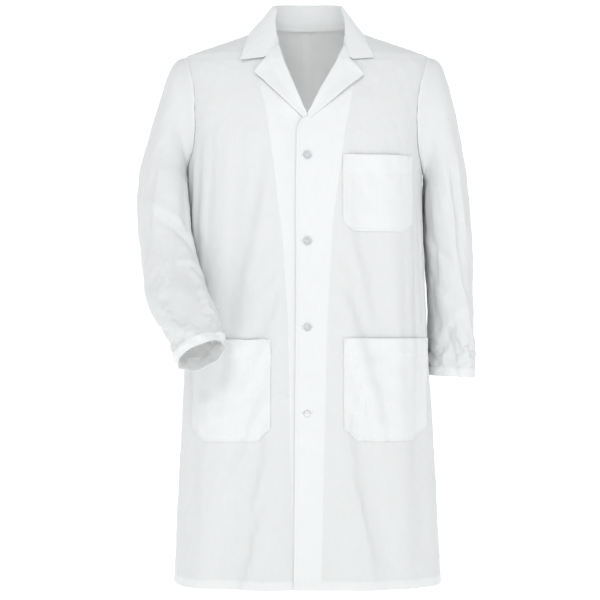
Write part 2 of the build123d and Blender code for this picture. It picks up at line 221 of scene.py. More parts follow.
def settle(points, hold, stiff):
    """Lets a tube of cloth hang and crumple from its held rows.

    hold is how firmly each point keeps its place, from 0 to 1.
    """
    rows, cols = points.shape[:2]
    faces = [
        (r * cols + c, (r + 1) * cols + c, (r + 1) * cols + (c + 1) % cols, r * cols + (c + 1) % cols)
        for r in range(rows - 1) for c in range(cols)
    ]
    mesh = bpy.data.meshes.new("settle")
    mesh.from_pydata(points.reshape(-1, 3).tolist(), [], faces)
    tube = show("settle", mesh)
    group = tube.vertex_groups.new(name="hold")
    for i, weight in enumerate(hold.reshape(-1)):
        group.add([i], float(weight), "REPLACE")
    cloth = tube.modifiers.new("cloth", "CLOTH")
    settings = {
        "quality": 6, "mass": 0.2, "tension_stiffness": 20, "compression_stiffness": 20,
        "shear_stiffness": 8, "bending_stiffness": stiff, "air_damping": 2,
        "vertex_group_mass": "hold", "pin_stiffness": 0.35,
        "shrink_max": -SLACK, "shrink_min": -SLACK,
    }
    for key, value in settings.items():
        setattr(cloth.settings, key, value)
    cloth.collision_settings.use_collision = False
    cloth.point_cache.frame_start, cloth.point_cache.frame_end = 1, FRAMES
    scene = bpy.context.scene
    scene.frame_start, scene.frame_end = 1, FRAMES
    for number in range(1, FRAMES + 1):
        scene.frame_set(number)
    settled = tube.evaluated_get(bpy.context.evaluated_depsgraph_get()).to_mesh()
    result = np.zeros(rows * cols * 3, np.float32)
    settled.vertices.foreach_get("co", result)
    bpy.data.objects.remove(tube)
    scene.frame_set(1)
    return result.reshape(points.shape).astype(float)


def keep_girth(points, moved):
    """moved without its shrinking and sideways drift, so that each ring keeps its size."""
    moved = moved - moved.mean(1, keepdims=True)
    out = points - points.mean(1, keepdims=True)
    out /= length(out)
    return moved - out * (moved * out).sum(-1, keepdims=True).mean(1, keepdims=True)


def capped(moved, limit):
    """moved with no shift longer than the limit."""
    return moved * np.minimum(1, limit / np.maximum(length(moved), 1e-9))


def spread(grid, coarse, moved, kept, step):
    """The coarse grid's shifts at every point of the grid that it was thinned from."""
    at = np.interp(np.arange(len(grid)), kept, np.arange(len(kept)))
    rr, cc = np.meshgrid(at, np.arange(grid.shape[1]) / step, indexing="ij")
    return Surface(coarse + moved).at(rr, cc) - Surface(coarse).at(rr, cc)


# ---- the body surface ---------------------------------------------------
BODY_COLS = 560
SIDE_SEAM = {1: 0.0, -1: -BODY_COLS / 2}  # its column on each side, counted round by the front
row_z = np.concatenate([
    np.linspace(-0.0002, -0.042, 46)[:-1],
    np.linspace(-0.042, -0.074, 46)[:-1],
    np.linspace(-0.074, HEM_Z, 330),
])
girth = columns_at(row_z, GIRTHS[:, 0], GIRTHS[:, 1:])
girth[92:] = smooth_rows(girth, 9)[92:]
girth[:88] = smooth_rows(girth, 3)[:88]


def body_point(half_w, half_d, centre_y, square, z, angle):
    """A point on a rounded rectangle at height z; angle 0 is the coat's left side."""
    c, s = np.cos(angle), np.sin(angle)
    x = half_w * np.sign(c) * np.abs(c) ** (2 / square)
    y = centre_y + half_d * np.sign(s) * np.abs(s) ** (2 / square)
    return np.stack([x, y, np.broadcast_to(z, x.shape)], axis=-1)


def body_grid():
    """The body at rest with its hanging folds."""
    wide, deep, middle, square = [girth[:, k:k + 1] for k in range(4)]
    turn = 2 * math.pi * np.arange(BODY_COLS) / BODY_COLS
    points = body_point(wide, deep, middle, square, row_z[:, None], turn[None, :])
    x, y, z = points[..., 0], points[..., 1], points[..., 2]
    # the bent arm pulls the right side out a little under the armhole
    pulled = (0.0040 * ease(-z, 0.10, 0.18) + 0.0050 * ease(-z, 0.23, 0.29)) * ease(z, -0.45, -0.37)
    points[..., 0] -= pulled * ease(-x, 0.14, 0.21)
    normals = grid_normals(points, True)
    flat = points.copy()
    flat[..., 2] *= 0.16
    hang = ease(-z, 0.24, 1.05)
    chest = ease(-z, 0.10, 0.30)
    placket = np.where(y < 0, ease(np.abs(x), 0.025, 0.085), 1.0)
    lift = 0.0052 * hang * ripple(flat, 0.105, 3)
    lift += 0.0030 * chest * ripple(flat, 0.17, 11)
    lift += 0.0011 * chest * ripple(points * np.array([1, 1, 0.45]), 0.055, 21)
    lift += 0.0005 * ripple(points, 0.022, 31)
    lift *= 0.12 + 0.88 * placket
    # the sewn-on pockets keep the cloth behind them flatter
    pocket = np.zeros_like(z)
    for side in (1, -1):
        inside = ease(side * x, 0.05, 0.08) * ease(-side * x, -0.24, -0.2)
        pocket += inside * ease(-z, 0.56, 0.62) * ease(z, -0.83, -0.77)
    inside = ease(x, 0.05, 0.08) * ease(-x, -0.21, -0.18)
    pocket += inside * ease(-z, 0.22, 0.26) * ease(z, -0.44, -0.40)
    lift *= 1 - 0.7 * np.clip(pocket * (y < 0), 0, 1)
    # two short creases beside the front edge, above the lower pocket
    for cx, cz, lean in ((-0.047, -0.702, 0.25), (-0.040, -0.712, 0.32)):
        across = (z - cz) - lean * (x - cx)
        crease = np.exp(-(across / 0.0035) ** 2) * np.exp(-((x - cx) / 0.016) ** 2) * (y < 0)
        lift += 0.0016 * crease
    points = points + normals * lift[..., None]
    # the hem hangs a little lower, most at the side seams
    points[..., 2] -= (0.0052 + 0.0028 * np.clip(np.abs(x) / 0.24, 0, 1) ** 2) * ease(-z, 0.90, 1.05)
    return points


def settled_body():
    """The body grid after a short cloth simulation from the shoulders down."""
    rough = body_grid()
    keep = np.linspace(0, len(row_z) - 1, 132).round().astype(int)
    coarse = rough[keep][:, ::4]
    z = coarse[..., 2]
    hold = np.where(z > -0.2, 1.0, 0.10 - 0.07 * ease(-z, 0.2, 1.05))
    hold = np.where((np.abs(coarse[..., 0]) < 0.075) & (coarse[..., 1] < 0), np.maximum(hold, 0.45), hold)
    moved = keep_girth(coarse, settle(coarse, hold, 0.6) - coarse)
    moved = capped(smooth_rows(moved * ease(-z, 0.17, 0.34)[..., None], 1), 0.007)
    moved[..., 2] *= 0.3
    return rough + spread(rough, coarse, moved, keep, 4)


body = Surface(settled_body())


def row_of(z):
    """The row of the body that lies at height z."""
    return np.interp(-np.asarray(z, float), -row_z, np.arange(len(row_z)))


def girth_at(z, *kinds):
    """The body's half width (0), half depth (1), centre y (2) or squareness (3) at height z."""
    return [np.interp(row_of(z), np.arange(len(row_z)), girth[:, kind]) for kind in kinds]


def col_of(x, z, front=True):
    """The column of the body that lies at x, at height z."""
    wide, square = girth_at(z, 0, 3)
    share = np.clip(np.asarray(x) / wide, -1, 1)
    angle = np.arccos(np.sign(share) * np.abs(share) ** (square / 2))
    angle = -angle if front else angle
    return angle / (2 * math.pi) * BODY_COLS


def on_front(x, z, off=0.0):
    """Points on the front at x and z, lifted off the cloth."""
    x, z = np.broadcast_arrays(np.asarray(x, float), np.asarray(z, float))
    return body.at(row_of(z), col_of(x, z), off)


def on_body(angle, z, off=0.0):
    """Points at an angle round the body: 0 is its left side, -90 the front."""
    angle, z = np.broadcast_arrays(np.asarray(angle, float), np.asarray(z, float))
    return body.at(row_of(z), np.radians(angle) / (2 * math.pi) * BODY_COLS, off)


# ---- materials ----------------------------------------------------------


def new_material(name, inputs):
    """A material with its node tree and its shader, whose inputs are set."""
    made = bpy.data.materials.new(name)
    made.use_nodes = True
    shader = made.node_tree.nodes["Principled BSDF"]
    for key, value in inputs.items():
        shader.inputs[key].default_value = value
    return made, made.node_tree, shader


def add_node(tree, kind, inputs=None, fed=None, **settings):
    """A shader node with its settings, its input values and the outputs that feed it."""
    made = tree.nodes.new(f"ShaderNode{kind}")
    for key, value in settings.items():
        setattr(made, key, value)
    for key, value in (inputs or {}).items():
        made.inputs[key].default_value = value
    for key, source in (fed or {}).items():
        tree.links.new(source, made.inputs[key])
    return made


def twill(name, tone, sheen, ribs=1500.0, depth=0.25):
    """White cotton twill: slanting ribs, slubs, soft creases, a little sheen, and painted shade where the
    cloth is single.
    """
    made, tree, shader = new_material(name, {
        "Roughness": 0.86, "Sheen Weight": sheen, "Sheen Roughness": 0.45, "Specular IOR Level": 0.18,
    })
    place = add_node(tree, "TexCoord").outputs["UV"]
    slant = add_node(tree, "Mapping", {"Rotation": (0, 0, math.radians(27))}, {"Vector": place})
    per_turn = ribs / (2 * math.pi)
    rib = add_node(
        tree, "TexWave", {"Scale": per_turn * 0.5, "Distortion": 1.2, "Detail": 2.0, "Detail Scale": 0.6},
        {"Vector": slant.outputs["Vector"]}, wave_type="BANDS", bands_direction="X",
    )
    weft = add_node(
        tree, "TexWave", {"Scale": per_turn * 0.8, "Distortion": 0.8}, {"Vector": place},
        wave_type="BANDS", bands_direction="Y",
    )
    streak = add_node(tree, "Mapping", {"Scale": (1.0, 0.12, 1.0)}, {"Vector": place})
    slub = add_node(tree, "TexNoise", {"Scale": 420, "Detail": 4}, {"Vector": streak.outputs["Vector"]})
    cloud = add_node(tree, "TexNoise", {"Scale": 26, "Detail": 6}, {"Vector": place})
    # colour: painted shade; single cloth lets some light through, so it is painted a little greyer than
    # two plies
    layers = add_node(tree, "Attribute", attribute_name="layers")
    base = add_node(
        tree, "Mix", {"A": (*[t * SINGLE_LAYER_PAINTED_SHADE for t in tone], 1), "B": (*tone, 1)},
        {"Factor": layers.outputs["Fac"]}, data_type="RGBA",
    )
    grain = add_node(tree, "MapRange", {"To Min": 0.965, "To Max": 1.02}, {"Value": slub.outputs["Fac"]})
    dull = add_node(tree, "MapRange", {"To Min": 0.98, "To Max": 1.01}, {"Value": cloud.outputs["Fac"]})
    both = add_node(
        tree, "Math", fed={0: grain.outputs["Result"], 1: dull.outputs["Result"]}, operation="MULTIPLY")
    shade = add_node(
        tree, "VectorMath", fed={"Vector": base.outputs["Result"], "Scale": both.outputs["Value"]},
        operation="SCALE",
    )
    tree.links.new(shade.outputs["Vector"], shader.inputs["Base Color"])
    # relief: ribs and threads, with small creases over them
    height = add_node(tree, "Math", fed={0: rib.outputs["Fac"], 1: weft.outputs["Fac"]}, operation="ADD")
    weave = add_node(
        tree, "Bump", {"Strength": depth, "Distance": 0.00012}, {"Height": height.outputs["Value"]})
    crease = add_node(
        tree, "Bump", {"Strength": 0.35, "Distance": 0.0012},
        {"Height": cloud.outputs["Fac"], "Normal": weave.outputs["Normal"]},
    )
    tree.links.new(crease.outputs["Normal"], shader.inputs["Normal"])
    return made


def thread_material():
    """Twisted polyester thread, a little glossier than the cloth."""
    made, tree, shader = new_material("thread", {"Roughness": 0.5, "Sheen Weight": 0.3})
    place = add_node(tree, "TexCoord").outputs["Object"]
    twist = add_node(tree, "TexWave", {"Scale": 900}, {"Vector": place}, bands_direction="DIAGONAL")
    tone = add_node(tree, "MapRange", {"To Min": 0.80, "To Max": 0.90}, {"Value": twist.outputs["Fac"]})
    bump = add_node(tree, "Bump", {"Strength": 0.4, "Distance": 0.0001}, {"Height": twist.outputs["Fac"]})
    tree.links.new(tone.outputs["Result"], shader.inputs["Base Color"])
    tree.links.new(bump.outputs["Normal"], shader.inputs["Normal"])
    return made


def button_material():
    """Pearly moulded button with faint cloudy bands."""
    made, tree, shader = new_material(
        "button_pearl", {"Roughness": 0.22, "Coat Weight": 0.6, "Coat Roughness": 0.12})
    place = add_node(tree, "TexCoord").outputs["Object"]
    cloud = add_node(
        tree, "TexNoise", {"Scale": 160, "Detail": 3, "Distortion": 2.5}, {"Vector": place})
    ramp = add_node(tree, "ValToRGB", fed={"Fac": cloud.outputs["Fac"]})
    dark, pale = ramp.color_ramp.elements
    dark.position, dark.color = 0.3, (0.50, 0.51, 0.53, 1)
    pale.position, pale.color = 0.72, (0.72, 0.73, 0.74, 1)
    tree.links.new(ramp.outputs["Color"], shader.inputs["Base Color"])
    return made


TWILL = twill("twill", (0.822, 0.832, 0.828), 0.10)
BINDING = twill("binding", (0.81, 0.82, 0.818), 0.06, ribs=2200.0, depth=0.35)
THREAD = thread_material()
PEARL = button_material()

# ---- making pieces ------------------------------------------------------


def arc_lengths(points, wrap):
    """Distance across and down a grid at each point, for laying out the weave."""
    across = np.linalg.norm(np.diff(points, axis=1), axis=-1)
    across = np.concatenate([np.zeros((len(points), 1)), np.cumsum(across, axis=1)], axis=1)
    across = np.broadcast_to(across.mean(0), across.shape)
    down = np.linalg.norm(np.diff(points, axis=0), axis=-1)
    down = np.concatenate([np.zeros((1, points.shape[1])), np.cumsum(down, axis=0)], axis=0)
    down = np.broadcast_to(down.mean(1)[:, None], down.shape)
    return np.stack([across, down], axis=-1)


def cloth_mesh(name, points, thick=CLOTH, wrap=False, layers=None, keep=None, face_out=True):
    """A closed sheet: the grid of points, the same again behind it, and the edges between.

    The painted ply shade is 0 where the cloth is single, which the twill paints a shade greyer for the
    light that passes through, and 1 where more cloth lies behind it.
    keep is False on the cells that are cut away.
    """
    rows, cols = points.shape[:2]
    normals = grid_normals(points, wrap)
    outward = points * np.array([1, 1, 0])
    if face_out and (normals * outward).sum() < 0:
        points = points[:, ::-1]
        keep = None if keep is None else keep[:, ::-1]
        layers = layers[:, ::-1] if np.ndim(layers) == 2 and np.shape(layers)[1] > 1 else layers
        normals = grid_normals(points, wrap)
    back = points - normals * thick
    cells_across = cols if wrap else cols - 1
    keep = np.ones((rows - 1, cells_across), bool) if keep is None else keep
    count = rows * cols
    faces, rims = [], []
    for r in range(rows - 1):
        for c in range(cells_across):
            if not keep[r, c]:
                continue
            d = (c + 1) % cols
            quad = (r * cols + c, (r + 1) * cols + c, (r + 1) * cols + d, r * cols + d)
            faces.append(quad)
            faces.append(tuple(count + i for i in reversed(quad)))
            sides = (
                (c > 0 or wrap, (r, (c - 1) % cells_across), quad[0], quad[1]),
                (r < rows - 2, (r + 1, c), quad[1], quad[2]),
                (c < cells_across - 1 or wrap, (r, (c + 1) % cells_across), quad[2], quad[3]),
                (r > 0, (r - 1, c), quad[3], quad[0]),
            )
            for exists, beside, a, b in sides:
                if not exists or not keep[beside]:
                    rims.append(len(faces))
                    faces.append((b, a, count + a, count + b))
    uv = arc_lengths(points, wrap)
    uv = np.concatenate([uv.reshape(-1, 2)] * 2)
    tone = np.zeros((rows, cols)) if layers is None else np.broadcast_to(layers, (rows, cols))
    tone = np.concatenate([tone.reshape(-1)] * 2)
    every = np.concatenate([points.reshape(-1, 3), back.reshape(-1, 3)])
    used = np.unique(np.array([i for face in faces for i in face]))
    new_index = np.full(len(every), -1)
    new_index[used] = np.arange(len(used))
    faces = [tuple(int(new_index[i]) for i in face) for face in faces]
    mesh = bpy.data.meshes.new(name)
    mesh.from_pydata(every[used].tolist(), [], faces)
    layer = mesh.uv_layers.new(name="UVMap")
    loops = np.zeros(len(mesh.loops), np.int32)
    mesh.loops.foreach_get("vertex_index", loops)
    layer.data.foreach_set("uv", uv[used][loops].astype(np.float32).ravel())
    # the painted ply shade, which the twill turns into painted shade on single cloth
    attribute = mesh.attributes.new("layers", "FLOAT", "POINT")
    attribute.data.foreach_set("value", tone[used].astype(np.float32))
    mesh.shade_smooth()
    # raw edges are sharp, so that the cloth beside them keeps its shading
    loop_edges = np.zeros(len(mesh.loops), np.int32)
    mesh.loops.foreach_get("edge_index", loop_edges)
    sharp = np.zeros(len(mesh.edges), bool)
    sharp[loop_edges.reshape(-1, 4)[rims].ravel()] = True
    mesh.attributes.new("sharp_edge", "BOOLEAN", "EDGE").data.foreach_set("value", sharp)
    return mesh


def add_piece(name, mesh, paint, replaced=()):
    """One piece of the coat, with its paint and the nodes that it replaces."""
    made = show(name, mesh)
    mesh.materials.append(paint)
    if replaced:
        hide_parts(*replaced)
    return made


def cloth_piece(name, points, replaced=(), paint=None, slot="twill", **options):
    """A piece made from a grid of points; options go to cloth_mesh."""
    return add_piece(name, cloth_mesh(name, points, **options), paint or TWILL, replaced)


def stitches(name, lines, pitch=STITCH_PITCH, width=0.00055, height=0.00032):
    """One mesh of short rounded stitches along (points, normals) lines."""
    turns = [2 * math.pi * k / 6 for k in range(6)]
    template = [(-0.5, 0, 0)]
    for t, r in ((-0.36, 0.85), (0.36, 0.85)):
        template += [(t, r * math.cos(a), r * math.sin(a)) for a in turns]
    template.append((0.5, 0, 0))
    template = np.array(template)
    tip = len(template) - 1
    faces = [(0, 1 + (k + 1) % 6, 1 + k) for k in range(6)]
    faces += [(1 + k, 1 + (k + 1) % 6, 7 + (k + 1) % 6, 7 + k) for k in range(6)]
    faces += [(tip, 7 + k, 7 + (k + 1) % 6) for k in range(6)]
    every, every_face = [], []
    for points, normals in lines:
        along = run_of(points)
        count = max(1, int(along[-1] / pitch))
        middle = (np.arange(count) + 0.5) * along[-1] / count
        half = along[-1] / count * 0.37
        tail, head = [columns_at(middle + d, along, points) for d in (-half, half)]
        way = (head - tail) / np.maximum(length(head - tail), 1e-9)
        side = np.cross(columns_at(middle, along, normals), way)
        side /= np.maximum(length(side), 1e-9)
        up = np.cross(way, side)
        centre = (tail + head) / 2
        for i in range(count):
            start = len(every) * len(template)
            every.append(
                centre[i]
                + template[:, :1] * 2 * half * way[i]
                + template[:, 1:2] * width / 2 * side[i]
                + template[:, 2:] * height / 2 * up[i]
            )
            every_face += [tuple(start + j for j in face) for face in faces]
    mesh = bpy.data.meshes.new(name)
    mesh.from_pydata(np.concatenate(every).tolist(), [], every_face)
    mesh.shade_smooth()
    return add_piece(name, mesh, THREAD)


def seam_line(at, first, second, off):
    """Points and normals for stitches, where at(first, second, off) is a point off a surface."""
    points = at(first, second, off)
    return points, (at(first, second, off + PROBE) - points) / PROBE


# ---- body panels --------------------------------------------------------
V_HEIGHTS = [V_BOTTOM_Z, -0.1342, -0.0860, -0.0474, -0.0137, 0.0]
V_HALVES = {
    1: [0.0, 0.0253, 0.0530, 0.0700, 0.0722, 0.0690],
    -1: [0.0, 0.0215, 0.0415, 0.0535, 0.0612, 0.0635],
}


def v_edge(z, side):
    """Half the width of the neck opening at height z, along one lapel's roll line."""
    return np.interp(z, V_HEIGHTS, V_HALVES[side])


def overlap(z, side):
    """How far one front runs past the middle; it swings out below the lapels."""
    full = np.interp(z, [HEM_Z, -0.49, -0.22], [OVERLAP_HEM, 0.0205, OVERLAP_TOP])
    return full * np.sqrt(np.clip((V_BOTTOM_Z - z) / 0.030, 0, 1))


def facing_edge(z):
    """Where the facing behind each front ends."""
    return np.interp(
        z,
        [HEM_Z, -0.57, -0.388, -0.26, -0.164, -0.11, -0.05],
        [0.0255, 0.036, 0.0475, 0.064, 0.079, 0.092, 0.104],
    )


def cuts(*breaks):
    """Shares from 0 to 1 with the given number of steps between the breaks."""
    shares = []
    for (start, steps), (end, _) in zip(breaks, breaks[1:]):
        shares += [start + (end - start) * i / steps for i in range(steps)]
    return np.array(shares + [breaks[-1][0]])


def under_drop(x, z, side):
    """How far the wearer's right front lies behind, where the left one covers it."""
    near = 1 - ease(np.abs(x), 0.026, 0.058)
    return -(3.4 * LAYER_GAP * near * ease(-z, 0.16, 0.20)) if side < 0 else np.zeros_like(x)


def behind_front(side, x_from, x_to, z, count):
    """A grid behind one front, count cells wide: from x_from to x_to, or to the side seam."""
    share = np.arange(count + 1) / count
    zz = np.broadcast_to(z[:, None], (len(z), len(share)))
    start = side * x_from[:, None]
    if x_to is None:
        first = col_of(start[:, 0], z)[:, None]
        col = first + (SIDE_SEAM[side] - first) * share
    else:
        col = col_of(start + (side * x_to[:, None] - start) * share, zz)
    x = body.at(row_of(zz), col)[..., 0]
    return body.at(row_of(zz), col, -LAYER_GAP + under_drop(x, zz, side))


def back_columns(side, share):
    """Body columns of half the back, at shares from the middle seam to the side seam."""
    middle = BODY_COLS / 4
    return middle + (-SIDE_SEAM[side] - middle) * share[None, :]


ARMHOLE_Y, ARMHOLE_Z = 0.008, -0.1795  # its middle
ARMHOLE_DEEP, ARMHOLE_HIGH = 0.058, 0.1130  # half of each
ARMHOLE_LAP = 0.955  # the panels run on under the sleeve by this share


def armhole_curve(side, count):
    """The armhole seam on the body, from the shoulder round by the front."""
    angle = 2 * math.pi * np.arange(count) / count
    y = ARMHOLE_Y - ARMHOLE_DEEP * np.sin(angle)
    z = ARMHOLE_Z + ARMHOLE_HIGH * np.cos(angle)
    deep, middle, square = girth_at(z, 1, 2, 3)
    share = np.clip((y - middle) / deep, -1, 1)
    lean = np.arcsin(np.sign(share) * np.abs(share) ** (square / 2))
    col = np.where(side > 0, lean, math.pi - lean) / (2 * math.pi) * BODY_COLS
    return body.at(row_of(z), col, 0.0008)


def cut_armhole(points):
    """Cells to keep, and the grid with its points by the armhole moved onto the seam."""
    x, y, z = [points[..., k] for k in range(3)]
    u = (y - ARMHOLE_Y) / (ARMHOLE_DEEP * ARMHOLE_LAP)
    v = (z - ARMHOLE_Z) / (ARMHOLE_HIGH * ARMHOLE_LAP)
    inside = (u * u + v * v < 1) & (np.abs(x) > 0.15)
    corner = inside[:-1, :-1].astype(int) + inside[1:, :-1] + inside[:-1, 1:] + inside[1:, 1:]
    keep = corner == 0
    touched = np.zeros_like(inside)
    gone = ~keep
    for dr in (0, 1):
        for dc in (0, 1):
            touched[dr:dr + gone.shape[0], dc:dc + gone.shape[1]] |= gone
    rim = touched & ~inside
    size = np.sqrt(np.maximum(u * u + v * v, 1e-9))
    moved = points.copy()
    moved[..., 1] = np.where(rim, ARMHOLE_Y + (y - ARMHOLE_Y) / size, y)
    moved[..., 2] = np.where(rim, ARMHOLE_Z + (z - ARMHOLE_Z) / size, z)
    return keep, moved


panel_z = np.concatenate([
    np.linspace(-0.006, SHOULDER_Z, 34)[:-1],
    np.linspace(SHOULDER_Z, OPEN_TOP_Z, 44)[:-1],
    np.linspace(OPEN_TOP_Z, -0.27, 26)[:-1],
    np.linspace(-0.27, HEM_TOP_Z + 0.001, 196)[:-1],
    np.linspace(HEM_TOP_Z, HEM_Z, 6),
])
EDGE_STEPS = (24, 1, 12)  # columns to the facing's edge, over it, and on to the fold line
PANEL_STEPS = (6, 1, 62)  # the same from the fold line to the side seam
SEAM_COLUMN = sum(EDGE_STEPS)


def front_columns(side, z):
    """Body columns of one front's grid: two lie close on either side of the facing's edge."""
    inner = np.where(z > V_BOTTOM_Z, v_edge(z, side) + 0.0012, -overlap(z, side))
    fold = np.maximum(FOLD_X, v_edge(z, side) + 0.016)
    facing = facing_edge(z)
    near = np.clip(facing, inner + 0.001, fold - 0.002)
    far = np.clip(facing, fold + 0.002, 0.2)
    stops = [col_of(side * x, z) for x in (inner, near, near + 0.0006, fold, far, far + 0.0006)]
    stops.append(np.full_like(z, SIDE_SEAM[side]))
    columns = [
        stops[k][:, None] + (stops[k + 1] - stops[k])[:, None] * (np.arange(steps) / steps)[None, :]
        for k, steps in enumerate(EDGE_STEPS + PANEL_STEPS)
    ]
    return np.concatenate([*columns, stops[-1][:, None]], axis=1)


def front_cloth(side):
    """The whole front as a grid, with its painted ply shade at each point: full over the facing and the
    hem, none on single cloth, which is painted greyer.
    """
    col = front_columns(side, panel_z)
    row = row_of(panel_z)[:, None] + np.zeros_like(col)
    x = side * body.at(row, col)[..., 0]
    z = panel_z[:, None] + np.zeros_like(x)
    grid = body.at(row, col, under_drop(x, z, side))
    # painted shade: above the lapel tips the facing still lies behind, but the cloth is painted as
    # single, so it is painted greyer beside the collar and lapel points
    layers = np.where(x < facing_edge(z), 1 - ease(z, -0.135, -0.110), 0.0)
    layers = np.maximum(layers, z < HEM_TOP_Z + 0.0006)
    return grid, layers, x


# ---- pieces -------------------------------------------------------------
sides_named = {1: "left", -1: "right"}


def make_back(side):
    """Half of the back: flat-felled middle seam, armhole, shoulder and side seams."""
    name = sides_named[side]
    z = panel_z[:, None]
    col = back_columns(side, cuts((0, 4), (0.025, 66), (1, 0))) + np.zeros_like(z)
    row = row_of(z) + np.zeros_like(col)
    # the middle seam and the vent below it stand a thread proud on the left half
    across = np.abs(body.at(row, col)[..., 0])
    proud = (0.0006 if side > 0 else 0.0) * (1 - ease(across, 0.007, 0.0085))
    vent = (z < VENT_TOP_Z) * (0.0014 if side > 0 else -0.0009) * (1 - ease(across, 0.02, 0.06))
    grid = body.at(row, col, proud + vent)
    # painted ply shade: the turned-up hem is painted as two plies and the middle seam's allowance a
    # little brighter; the rest is painted a shade greyer as single cloth
    layers = (z < HEM_TOP_Z + 0.0006) + 0.35 * (across < 0.0075)
    keep, grid = cut_armhole(grid)
    piece = cloth_piece(f"back_panel_{name}", grid, [f"back_{name}"], keep=keep, layers=layers)
    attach(piece, "root")


def make_front(side):
    """One front from its V edge, and below the lapels from its fold line, to the side seam."""
    name = sides_named[side]
    grid, layers, _ = front_cloth(side)
    keep, grid = cut_armhole(grid)
    keep[panel_z[:-1] <= OPEN_TOP_Z + 1e-6, :SEAM_COLUMN] = False
    piece = cloth_piece(f"front_panel_{name}", grid, [f"front_{name}"], keep=keep, layers=layers)
    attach(piece, "root")


def blend_edge(piece):
    """The piece's place is baked into its mesh."""
    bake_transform(piece)


def make_front_edge(side):
    """The placket with the hem at its foot, and the facing behind it."""
    name = sides_named[side]
    below = panel_z <= OPEN_TOP_Z + 1e-6
    z = panel_z[below]
    grid, layers, x = [values[below][:, :SEAM_COLUMN + 1] for values in front_cloth(side)]
    # the free edge is a fold, so it is rounded back over its own thickness
    free = x + overlap(z, side)[:, None]
    grid[..., 1] += 0.0009 * (1 - ease(free, 0.0, 0.0016))
    holes = [f"buttonhole_{n}" for n in range(1, 5)] if side > 0 else []
    piece = cloth_piece(f"placket_{name}", grid, [f"front_edge_{name}", *holes], layers=layers)
    blend_edge(piece)
    facing_z = z[z <= OPEN_TOP_Z - 0.0005]
    outer = np.minimum(facing_edge(facing_z), FOLD_X - 0.0005)
    facing = behind_front(side, -overlap(facing_z, side) + 0.0012, outer, facing_z, 20)
    lining = cloth_piece(f"front_facing_{name}", facing, [f"facing_{name}"], layers=1.0)
    blend_edge(lining)


def make_bottom_hem(side, front):
    """The turned-up hem on the inside."""
    name = f"hem_{'front' if front else 'back'}_{sides_named[side]}"
    z = np.linspace(HEM_TOP_Z, HEM_Z + 0.0004, 5)
    if front:
        grid = behind_front(side, np.full_like(z, FOLD_X), None, z, 60)
    else:
        col = back_columns(side, cuts((0, 66), (1, 0))) + np.zeros((len(z), 1))
        grid = body.at(row_of(z)[:, None] + 0 * col, col, -LAYER_GAP)
    piece = cloth_piece(f"{name}_turnup", grid, [name], layers=1.0)
    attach(piece, "root")


def make_vent():
    """The right back's extension under the left back."""
    z = np.linspace(VENT_TOP_Z, HEM_Z + 0.001, 60)[:, None]
    x = 0.0003 + 0.0375 * np.linspace(0, 1, 12)[None, :] + 0 * z
    z = z + 0 * x
    grid = body.at(row_of(z), col_of(x, z, front=False), -0.0018)
    piece = cloth_piece("vent_underlap_cloth", grid, ["vent_underlap"], layers=1.0)
    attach(piece, "root")


# ---- lapels and collar --------------------------------------------------
# x and z of the corners on each side
NOTCH = {1: (0.0805, -0.0815), -1: (0.0770, -0.0780)}
LAPEL_TIP = {1: (0.1043, -0.1118), -1: (0.0975, -0.1068)}
LAPEL_FOOT = {1: (0.0050, -0.1935), -1: (0.0060, -0.1930)}
GORGE = {1: (0.0712, -0.0470), -1: (0.0548, -0.0460)}
COLLAR_POINT = {1: (0.1228, -0.0785), -1: (0.1240, -0.0838)}
COLLAR_SHOULDER = {1: (0.1010, -0.0178), -1: (0.1062, -0.0198)}


def path(points, share):
    """Points along straight runs, at shares of the whole length."""
    points = np.array(points, float)
    along = run_of(points)
    return columns_at(share, along / along[-1], points)


def lapel_lift(s, share):
    """How far the lapel stands off: s is from roll to edge, share from foot to gorge."""
    tip = ease(share, 0.08, 0.5) * (1 - 0.85 * ease(share, 0.70, 0.84))
    lift = 0.0048 - 0.0022 * ease(s, 0.05, 0.5) + 0.0008 * np.sin(6 * share + 2 * s) * s
    return lift + 0.0048 * ease(s, 0.4, 1.0) * tip


LAPEL_TIP_AT, LAPEL_NOTCH_AT = 0.66, 0.80  # shares from the foot to the gorge
# from inside the front and round the roll: reach (negative is inside) and lift
LAPEL_ROLL = [
    (-0.20, -0.0030), (-0.10, -0.0026), (-0.03, -0.0012),
    (0.0, 0.0008), (0.012, 0.0030), (0.03, 0.0046),
]


